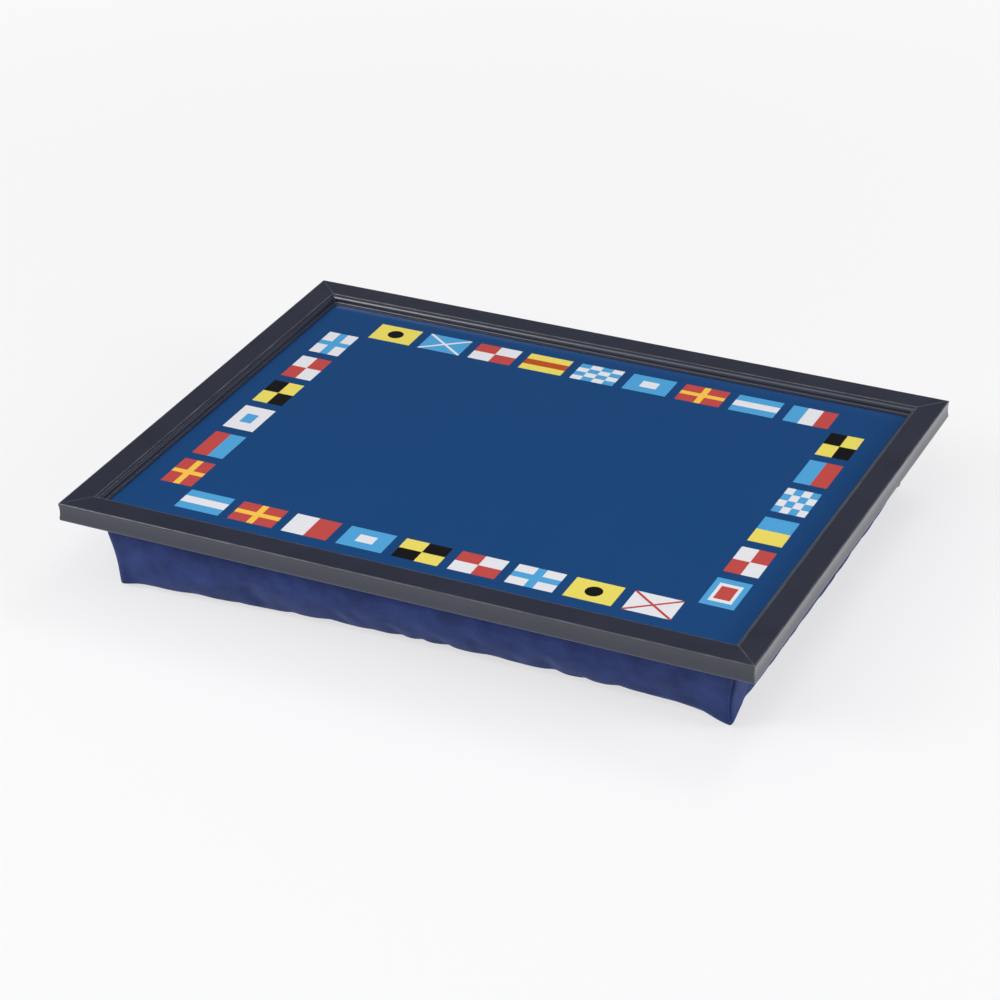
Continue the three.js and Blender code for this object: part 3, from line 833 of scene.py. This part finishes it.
def cut_flags(sheet, sizes):
    """Cuts every strip, flag and design of the border into the top of the sheet."""
    whole = Vector((TRAY_HALF_LENGTH, TRAY_HALF_WIDTH)) * 2
    between_rows = Vector((whole.x, 2 * abs(sizes.front_row[1]) - sizes.flag_height))
    with editing(sheet):
        select_faces(sheet, is_print)
        bpy.ops.mesh.dissolve_faces()
        for flags, middle, step, size in flag_strips(sizes):
            half = size / 2
            if step.x:
                zone = whole
                strip = Vector((whole.x, size.y))
                sides = straight_cuts((), (middle.y - half.y, middle.y + half.y))
                ends = straight_cuts((-half.x, half.x), ())
            else:
                zone = between_rows
                strip = Vector((size.x, whole.y))
                sides = straight_cuts((middle.x - half.x, middle.x + half.x), ())
                ends = straight_cuts((), (-half.y, half.y))
            cut_print(sheet, Vector((0, 0)), zone, sides)
            for (design, *_), spot in zip(flags, flag_middles(flags, middle, step)):
                cut_print(sheet, spot, strip, ends)
                cut_print(sheet, spot, size, design(size, sizes)[0])
                if design is dot:
                    cut_dot(sheet, spot, size, sizes)
        face_outwards()


def ink_print(sheet, sizes, finishes):
    """Gives each face of the sheet the colour of its ink."""
    inks = [opaque(finishes.ground)] * len(sheet.data.polygons)
    for flags, middle, step, size in flag_strips(sizes):
        for (design, *names), spot in zip(flags, flag_middles(flags, middle, step)):
            ink_at = design(size, sizes)[1]
            for face in sheet.data.polygons:
                if is_print(face.center, face.normal) and is_inside(face.center, spot, size):
                    name = names[ink_at(face.center.x - spot.x, face.center.y - spot.y)]
                    inks[face.index] = opaque(getattr(finishes, name))
    layer = sheet.data.color_attributes.new("ink", "FLOAT_COLOR", "CORNER")
    for face in sheet.data.polygons:
        for corner in face.loop_indices:
            layer.data[corner].color = inks[face.index]


class LAPTRAY_OT_make_print(Operator):
    """Cuts the border of flags into a copy of the sheet and inks it"""

    bl_idname = "laptray.make_print"
    bl_label = "Make Print"

    def execute(self, context):
        settings = context.scene.lap_tray
        sheet = bpy.data.objects.new("printed_sheet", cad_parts["printed_laminate"].data.copy())
        context.scene.collection.objects.link(sheet)
        with editing(sheet, "VERT"):
            select_whole()
            bpy.ops.mesh.remove_doubles(threshold=MERGE_DISTANCE)
        cut_flags(sheet, settings.prints)
        bpy.ops.object.shade_flat()
        ink_print(sheet, settings.prints, settings.finishes)
        finish_piece(sheet, glossy_ink(), "gloss_print", "printed_laminate")
        return {"FINISHED"}


# Cushion

# Powers that say how close to the corners a lift, a swelling or a row of arches begins to sink
LIFT_POWER = 16
BULGE_POWER = 6
ARCH_POWER = 12

# The arch beside a turned-out corner: its place in ear lengths, and how narrow it is
EAR_ARCH_PLACE = 1.5
EAR_ARCH_POWER = 3

# The arches of a seam: how sharp the gathers are, and how high they are on the whole
GATHER_POWER = 1.5
GATHER_MEAN = 0.5

# Size, rate and start of the sines that vary the gathers' heights and shift them along the seam
GATHER_HEIGHTS = ((0.3, 2.1, 0.3), (0.2, 17, 1))
GATHER_SHIFTS = ((1.6, 4.1, 0.6), (1.1, 11.7, 0))


def vectors_of(items, name):
    """One vector of each item of a mesh, in rows."""
    values = np.zeros(len(items) * 3)
    items.foreach_get(name, values)
    return values.reshape(-1, 3)


class CoverGrid:
    """Mesh of the cushion's cover, open at the top, and where each of its points is on the cloth."""

    def __init__(self, sizes):
        columns = round(2 * COVER_HALF_LENGTH / sizes.cell)
        lines = round(2 * COVER_HALF_WIDTH / sizes.cell)
        self.cells = (columns, lines, sizes.rows)
        self.piece = self.folded_grid()
        self.u, self.v, self.height = self.points().T
        self.from_end = (1 - np.abs(self.u)) * COVER_HALF_LENGTH
        self.from_side = (1 - np.abs(self.v)) * COVER_HALF_WIDTH
        self.up = self.height * FILLING_TOP
        steps = np.stack([(self.u + 1) / 2, (self.v + 1) / 2, self.height], axis=1)
        self.steps = np.rint(steps * self.cells).astype(int)
        is_end = np.isin(self.steps[:, 0], (0, columns))
        is_side = np.isin(self.steps[:, 1], (0, lines))
        self.is_base = self.steps[:, 2] == 0
        self.is_rim = self.steps[:, 2] == sizes.rows
        self.is_corner_seam = is_end & is_side
        self.is_base_seam = self.is_base & (is_end | is_side)

    def folded_grid(self):
        """A grid for the base, its edge drawn up row by row for the sides."""
        columns, lines, rows = self.cells
        add = bpy.ops.mesh.primitive_grid_add
        piece = new_piece("cushion", add, x_subdivisions=columns, y_subdivisions=lines, size=2)
        with editing(piece, "EDGE"):
            select_whole()
            bpy.ops.mesh.region_to_loop()
            for row in range(rows):
                extrude((0, 0, 1 / rows))
            face_outwards()
        return piece

    def points(self):
        return vectors_of(self.piece.data.vertices, "co")

    def normals(self):
        return vectors_of(self.piece.data.vertex_normals, "vector")

    def move_to(self, places):
        self.piece.data.vertices.foreach_set("co", np.ascontiguousarray(places).ravel())
        self.piece.data.update()

    def group(self, name, weights):
        """Makes a vertex group of the points that have a weight."""
        group = self.piece.vertex_groups.new(name=name)
        for point in np.nonzero(weights)[0]:
            group.add([int(point)], float(weights[point]), "REPLACE")


def beside_corner(apart):
    """An arch that rises from a corner to 1 at its place and sinks slowly beyond it."""
    near = apart / EAR_ARCH_PLACE
    return (near * np.exp(1 - near)) ** EAR_ARCH_POWER


def cover_shape(grid, sizes):
    """Places of the slack cover before it is filled."""
    u, v, height = grid.u, grid.v, grid.height
    depth = 1 - height
    # The ends draw in most just below the board
    half_length = COVER_HALF_LENGTH - sizes.taper_length * depth * (3 - depth) / 2
    half_width = COVER_HALF_WIDTH - sizes.taper_width * depth
    bulge = sizes.bulge * np.sin(np.pi * depth)
    # The filling has slid to the front right: 1 at that corner, and a third at the others
    fullness = (2 + (1 + u) * (1 - v)) / 6
    from_end = grid.from_end / (sizes.ear_length * fullness)
    from_side = grid.from_side / (sizes.ear_length * fullness)
    ear_fade = np.maximum(0, 1 - (from_end + from_side) ** 2) ** 2
    ear = sizes.ear_out * fullness * depth**3 * ear_fade
    extra_lift = sizes.lift_middle - sizes.lift_corner
    leaning = 1 - sizes.lean * (1 - u) / 2
    along = sizes.lift_corner + extra_lift * (1 - u**LIFT_POWER) * leaning
    along = along + sizes.ear_arch * beside_corner(from_end)
    across = sizes.lift_corner + extra_lift * (1 - v**LIFT_POWER)
    roll_u = np.maximum(0, 1 - (1 - np.abs(u)) * half_length / sizes.base_roll) ** 2
    roll_v = np.maximum(0, 1 - (1 - np.abs(v)) * half_width / sizes.base_roll) ** 2
    base = along * roll_v + across * roll_u - sizes.lift_corner * roll_u * roll_v
    x = u * (half_length + ear + bulge * (1 - v**BULGE_POWER) + sizes.end_swell * depth**2 * (1 - v**2))
    y = v * (half_width + ear + bulge * (1 - u**BULGE_POWER) - sizes.draw_in * depth**2 * (1 - u**2))
    z = base + (FILLING_TOP - base) * height
    tuck = sizes.left_tuck * (1 - u) / 2 * height * np.minimum(1, depth / sizes.tuck_start)
    return np.stack([x + sizes.shift * depth + tuck, y + x * sizes.skew * depth, z], axis=1)


def fill_cover(grid, sizes):
    """Presses the cover outwards, held at its rim, at its corner seams and where it lies flat."""
    start = grid.points()
    lies_flat = grid.is_base & (start[:, 2] < sizes.flat_limit)
    held = grid.is_rim | lies_flat | grid.is_corner_seam
    grid.group("held", held.astype(float))
    to_corner = 2 - np.abs(grid.u) - np.abs(grid.v)
    grid.group("gathered", grid.is_base_seam * np.clip(to_corner / sizes.gather_start, 0, 1))
    pick(grid.piece)
    bpy.ops.object.modifier_add(type="CLOTH")
    modifier = grid.piece.modifiers["Cloth"]
    modifier.collision_settings.use_collision = False
    cloth = modifier.settings
    cloth.quality = sizes.quality
    cloth.mass = sizes.point_mass
    cloth.bending_stiffness = sizes.stiffness
    cloth.vertex_group_mass = "held"
    cloth.vertex_group_shrink = "gathered"
    cloth.shrink_min = -sizes.slack
    cloth.shrink_max = sizes.gather
    cloth.use_pressure = True
    cloth.uniform_pressure_force = sizes.pressure
    cloth.effector_weights.gravity = 0
    for moment in range(1, sizes.frames + 1):
        bpy.context.scene.frame_set(moment)
    bpy.ops.object.modifier_apply(modifier="Cloth")
    move = grid.points() - start
    far = np.linalg.norm(move, axis=1, keepdims=True)
    move *= np.tanh(far / sizes.most_move) * sizes.most_move / np.maximum(far, LEAST_LENGTH)
    grid.move_to(start + move)


def uneven(along, sines):
    """The sum of sines along a seam."""
    return sum(size * np.sin(rate * along + start) for size, rate, start in sines)


def gathers(along, arch_count):
    """Uneven gathers along a seam, up to 1 at each, 0 in the arches between them and at the corners."""
    phase = np.pi * arch_count * along + uneven(along, GATHER_SHIFTS)
    height = GATHER_MEAN + uneven(along, GATHER_HEIGHTS)
    return (1 - np.abs(np.cos(phase))) ** GATHER_POWER * height * (1 - along**ARCH_POWER)


def gather_seams(grid, sizes):
    """Draws the bottom seams up and in between uneven arches, fading out over the cloth beside them."""
    places = grid.points()
    for axis, here, along, far, half_seam in (
        (1, grid.v, grid.u, grid.up + grid.from_side, COVER_HALF_LENGTH),
        (0, grid.u, grid.v, grid.up + grid.from_end, COVER_HALF_WIDTH),
    ):
        fade = np.maximum(0, 1 - far / sizes.arch_reach) ** 2
        drawn = sizes.arch_height * gathers(along, half_seam / sizes.arch_length) * fade
        places[:, 2] += drawn
        places[:, axis] -= np.sign(here) * drawn / 2
    grid.move_to(places)


def draw_seams(grid, sizes):
    """Brings the mesh close to the seams and draws their stitches in, less so at the ears' tips."""
    places = grid.points()
    numbers = {tuple(step): point for point, step in enumerate(grid.steps)}
    is_seam = (grid.is_corner_seam | grid.is_base_seam) & ~grid.is_rim
    from_corner = np.linalg.norm([grid.from_end, grid.from_side, grid.up], axis=0)
    tight = is_seam * np.clip(from_corner / sizes.ear_round, sizes.ear_tight, 1)
    slid = places.copy()
    for seam in np.nonzero(is_seam)[0]:
        slide = tight[seam] * (1 - sizes.seam_share)
        for way in ((1, 0, 0), (-1, 0, 0), (0, 1, 0), (0, -1, 0), (0, 0, 1)):
            beside = numbers.get(tuple(grid.steps[seam] + way))
            if beside is not None and not is_seam[beside]:
                slid[beside] += (places[seam] - places[beside]) * slide
    grid.move_to(slid)
    drawn = slid - grid.normals() * sizes.seam_depth * tight[:, None]
    drawn[:, 2] = np.maximum(drawn[:, 2], 0)
    grid.move_to(drawn)


class LAPTRAY_OT_make_cushion(Operator):
    """Sews the cover, fills it by a cloth simulation and draws its seams in"""

    bl_idname = "laptray.make_cushion"
    bl_label = "Make Cushion"

    def execute(self, context):
        settings = context.scene.lap_tray
        sizes = settings.cushion
        grid = CoverGrid(sizes)
        grid.move_to(cover_shape(grid, sizes))
        fill_cover(grid, sizes)
        gather_seams(grid, sizes)
        draw_seams(grid, sizes)
        cushion = grid.piece
        pick(cushion)
        smoothing = cushion.modifiers.new("Subdivision", "SUBSURF")
        smoothing.levels = 1
        bpy.ops.object.modifier_apply(modifier="Subdivision")
        with editing(cushion, "EDGE"):
            bpy.ops.mesh.select_non_manifold()
            bpy.ops.mesh.edge_face_add()
            face_outwards()
        bpy.ops.object.shade_smooth()
        finish_piece(cushion, navy_cloth(settings.finishes), "navy_cloth", *COVER_NODES)
        return {"FINISHED"}


def select_outer_edges(hem):
    """In edit mode, keeps only the edges on the outer side of a ring selected."""
    mesh = bmesh.from_edit_mesh(hem.data)
    for edge in mesh.edges:
        is_end = all(abs(point.co.x) > COVER_HALF_LENGTH - TOUCH for point in edge.verts)
        is_side = all(abs(point.co.y) > COVER_HALF_WIDTH - TOUCH for point in edge.verts)
        edge.select_set(is_end or is_side)
    bmesh.update_edit_mesh(hem.data)


class LAPTRAY_OT_make_hem(Operator):
    """Turns the cover's hem up round the cushion board and in over it"""

    bl_idname = "laptray.make_hem"
    bl_label = "Make Hem"

    def execute(self, context):
        sizes = context.scene.lap_tray.cushion
        top = HEM_TOP - sizes.hem_gap
        bottom = FILLING_TOP + sizes.hem_gap
        hem = new_piece("cover_hem", bpy.ops.mesh.primitive_plane_add, size=2, location=(0, 0, top))
        hem.scale = (COVER_HALF_LENGTH, COVER_HALF_WIDTH, 1)
        bpy.ops.object.transform_apply()
        with editing(hem):
            select_whole()
            bpy.ops.mesh.inset(thickness=sizes.hem_width)
            bpy.ops.mesh.delete(type="FACE")
            bpy.ops.mesh.select_mode(type="EDGE")
            select_outer_edges(hem)
            extrude((0, 0, bottom - top))
            face_outwards()
        thicken = hem.modifiers.new("Thickness", "SOLIDIFY")
        thicken.thickness = sizes.cloth_thickness
        thicken.offset = -1
        bpy.ops.object.modifier_apply(modifier="Thickness")
        finish_piece(hem, bpy.data.materials["navy_cloth"], "navy_cloth")
        return {"FINISHED"}


# Boards and fasteners


def dress_nodes(prefixes, material):
    """Gives CAD nodes whose names start so a better material."""
    for name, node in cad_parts.items():
        if name.startswith(prefixes):
            node.data.materials.clear()
            node.data.materials.append(material)


class LAPTRAY_OT_dress_boards(Operator):
    """Gives the two boards their fibreboard"""

    bl_idname = "laptray.dress_boards"
    bl_label = "Dress Boards"

    def execute(self, context):
        dress_nodes(("tray_board", "cushion_board"), brown_board(context.scene.lap_tray.finishes))
        return {"FINISHED"}


class LAPTRAY_OT_dress_fasteners(Operator):
    """Gives the nails, pins and staples their steel"""

    bl_idname = "laptray.dress_fasteners"
    bl_label = "Dress Fasteners"

    def execute(self, context):
        dress_nodes(("v_nail", "panel_pin", "staple"), bright_steel(context.scene.lap_tray.finishes))
        return {"FINISHED"}


# Stage

# Brightness of the room, by the height of a direction from the horizon to straight up
ROOM_LEVELS = ((0, 0.8), (0.1, 0.65), (0.3, 0.14), (0.5, 0.06), (0.75, 0.3), (1, 0.5))


def make_floor(finishes, stage):
    """A pale floor whose shadows are lifted where it is seen, as a white studio table's are."""
    floor = new_piece("floor", bpy.ops.mesh.primitive_plane_add, size=stage.floor_side)
    material, tree, shader = new_material("pale_floor")
    give(tree, shader, {"Base Color": opaque(finishes.floor), "Roughness": 0.7})
    rays = add_node(tree, "ShaderNodeLightPath").outputs
    seen = calculated(tree, "ADD", rays["Is Camera Ray"], rays["Is Glossy Ray"])
    seen = calculated(tree, "ADD", seen, rays["Is Transmission Ray"])
    apart = add_node(tree, "ShaderNodeVectorMath", {0: object_place(tree)}, operation="LENGTH")
    fading = (stage.near, stage.far)
    lift = ranged(tree, apart.outputs["Value"], fading, (stage.shadow_lift, 1))
    lifted = calculated(tree, "MULTIPLY", seen, lift)
    pale = add_node(tree, "ShaderNodeEmission", {"Color": opaque(finishes.backdrop)}).outputs[0]
    both = add_node(tree, "ShaderNodeMixShader", {0: lifted, 1: shader.outputs[0], 2: pale})
    tree.links.new(both.outputs[0], tree.nodes["Material Output"].inputs["Surface"])
    floor.data.materials.append(material)


def make_room(stage):
    """A pale room: bright near the horizon, dim above it and brighter again overhead."""
    world = bpy.data.worlds.new("studio_room")
    world.use_nodes = True
    tree = world.node_tree
    way = add_node(tree, "ShaderNodeTexCoord").outputs["Generated"]
    height = add_node(tree, "ShaderNodeSeparateXYZ", {0: way}).outputs["Z"]
    ramp = add_node(tree, "ShaderNodeValToRGB", {"Fac": height})
    elements = ramp.color_ramp.elements
    for spot, level in ROOM_LEVELS[1:-1]:
        elements.new(spot)
    for element, (spot, level) in zip(elements, ROOM_LEVELS):
        element.position = spot
        element.color = (level, level, level, 1)
    sockets = {"Color": ramp.outputs["Color"], "Strength": stage.sky_level}
    give(tree, tree.nodes["Background"], sockets)
    bpy.context.scene.world = world


def make_lamp(name, azimuth, elevation, distance, size, power):
    """A soft lamp that faces the tray, its azimuth counted from the back towards the right."""
    lamp = bpy.data.lights.new(name, "AREA")
    lamp.shape = "DISK"
    lamp.size = size
    lamp.energy = power
    piece = bpy.data.objects.new(name, lamp)
    a, e = math.radians(azimuth), math.radians(elevation)
    way = Vector((math.sin(a) * math.cos(e), math.cos(a) * math.cos(e), math.sin(e)))
    piece.location = way * distance
    piece.rotation_euler = way.to_track_quat("Z", "Y").to_euler()
    bpy.context.scene.collection.objects.link(piece)


def make_camera(stage):
    """The camera at the angle of the photograph, which is as wide as it is high."""
    camera = bpy.data.cameras.new("camera")
    camera.lens = stage.lens
    camera.sensor_width = stage.sensor
    camera.sensor_fit = "HORIZONTAL"
    piece = bpy.data.objects.new("camera", camera)
    a, e, r = stage.azimuth, stage.elevation, stage.roll
    back = Vector((math.sin(a) * math.cos(e), -math.cos(a) * math.cos(e), math.sin(e)))
    right = Vector((math.cos(a), math.sin(a), 0))
    up = back.cross(right)
    right, up = right * math.cos(r) + up * math.sin(r), up * math.cos(r) - right * math.sin(r)
    turn = Matrix((right, up, back)).transposed().to_4x4()
    piece.matrix_world = Matrix.Translation(Vector(stage.target) + back * stage.distance) @ turn
    bpy.context.scene.collection.objects.link(piece)
    bpy.context.scene.camera = piece


class LAPTRAY_OT_make_stage(Operator):
    """Sets out the floor, the room, the lamps and the camera"""

    bl_idname = "laptray.make_stage"
    bl_label = "Make Stage"

    def execute(self, context):
        settings = context.scene.lap_tray
        make_floor(settings.finishes, settings.stage)
        make_room(settings.stage)
        make_lamp("front_lamp", azimuth=188, elevation=55, distance=2.2, size=2.2, power=16)
        make_lamp("left_lamp", azimuth=225, elevation=32, distance=2.2, size=0.9, power=22)
        make_lamp("right_lamp", azimuth=85, elevation=25, distance=2.2, size=1.0, power=21)
        make_lamp("back_lamp", azimuth=25, elevation=58, distance=2.0, size=0.7, power=8)
        make_camera(settings.stage)
        context.scene.view_settings.view_transform = "Standard"
        return {"FINISHED"}


# Panel, registration and the run in order

MAKERS = (
    LAPTRAY_OT_make_stage,
    LAPTRAY_OT_make_rails,
    LAPTRAY_OT_make_print,
    LAPTRAY_OT_make_cushion,
    LAPTRAY_OT_make_hem,
    LAPTRAY_OT_dress_boards,
    LAPTRAY_OT_dress_fasteners,
)


class LAPTRAY_PT_sidebar(Panel):
    """Lists the steps that build the lap tray"""

    bl_idname = "LAPTRAY_PT_sidebar"
    bl_label = "Lap Tray"
    bl_space_type = "VIEW_3D"
    bl_region_type = "UI"
    bl_category = "Lap Tray"

    def draw(self, context):
        for maker in MAKERS:
            self.layout.operator(maker.bl_idname)


GROUPS = (RailSizes, PrintSizes, CushionSizes, Finishes, StageSettings, LapTraySettings)
CLASSES = (*GROUPS, *MAKERS, LAPTRAY_PT_sidebar)


def register():
    for cls in CLASSES:
        bpy.utils.register_class(cls)
    bpy.types.Scene.lap_tray = PointerProperty(type=LapTraySettings)


def unregister():
    del bpy.types.Scene.lap_tray
    for cls in reversed(CLASSES):
        bpy.utils.unregister_class(cls)


def main():
    register()
    for maker in MAKERS:
        group, name = maker.bl_idname.split(".")
        getattr(getattr(bpy.ops, group), name)()


if __name__ == "__main__":
    main()
